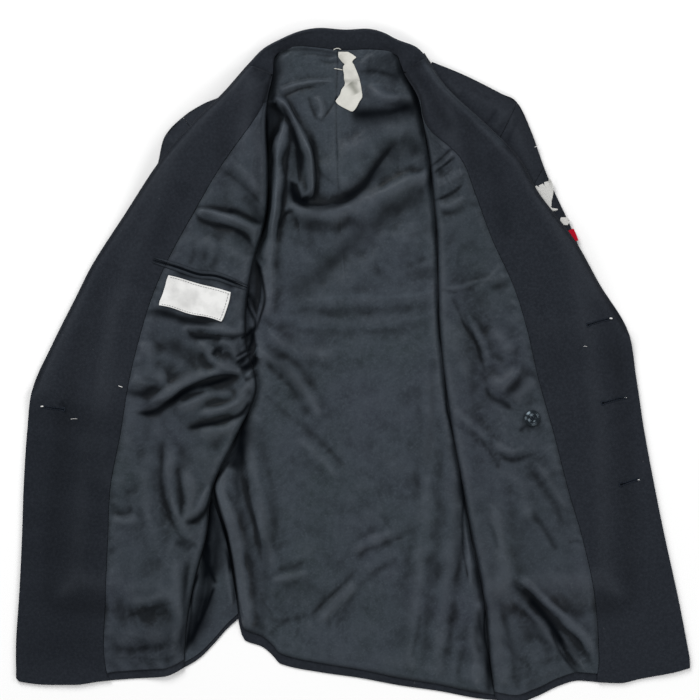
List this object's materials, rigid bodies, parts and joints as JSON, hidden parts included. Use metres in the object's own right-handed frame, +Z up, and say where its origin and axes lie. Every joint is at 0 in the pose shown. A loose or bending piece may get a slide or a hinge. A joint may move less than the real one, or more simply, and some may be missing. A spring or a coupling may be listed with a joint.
{
  "type": "double-breasted service dress tunic, laid open on its back with the lining up",
  "caption": "Navy wool double-breasted service tunic laid open flat, showing facings, slate satin lining, inside pocket and blank labels; sleeves folded beneath the fronts.",
  "frame": {"origin": "middle of the bounding box at the height of the surface that the tunic lies on", "axes": "+Z up from the surface, +Y towards the collar, +X towards the wearer's left front"},
  "size_m": [0.808, 0.8081, 0.0362],
  "materials": {
    "navy_wool": "matt milled wool, very dark navy",
    "slate_lining": "satin weave lining, slate grey, soft sheen",
    "white_tape": "white cotton tape, bare",
    "badge_cloth": "wool patch with a plain white and red embroidered design",
    "black_button": "glossy black, four holes"
  },
  "bodies": {
    "root": {"back_shell": "navy_wool", "front_shell_right": "navy_wool", "front_shell_left": "navy_wool", "facing_right": "navy_wool", "facing_left": "navy_wool", "lapel_right": "navy_wool", "lapel_left": "navy_wool", "collar": "navy_wool", "shoulder_right": "navy_wool", "shoulder_left": "navy_wool", "sleeve_top_right": "navy_wool", "sleeve_top_left": "navy_wool", "sleeve_under_right": "navy_wool", "sleeve_under_left": "navy_wool", "side_shell_right": "navy_wool", "back_lining_right": "slate_lining", "back_lining_left": "slate_lining", "front_lining_right": "slate_lining", "front_lining_left": "slate_lining", "side_lining_right": "slate_lining", "pocket_welt_upper": "slate_lining", "pocket_welt_lower": "slate_lining", "name_label": "white_tape", "neck_label": "white_tape", "sleeve_badge": "badge_cloth", "inner_button": "black_button", "outer_button_1": "black_button", "outer_button_2": "black_button", "outer_button_3": "black_button"}
  },
  "joints": []
}
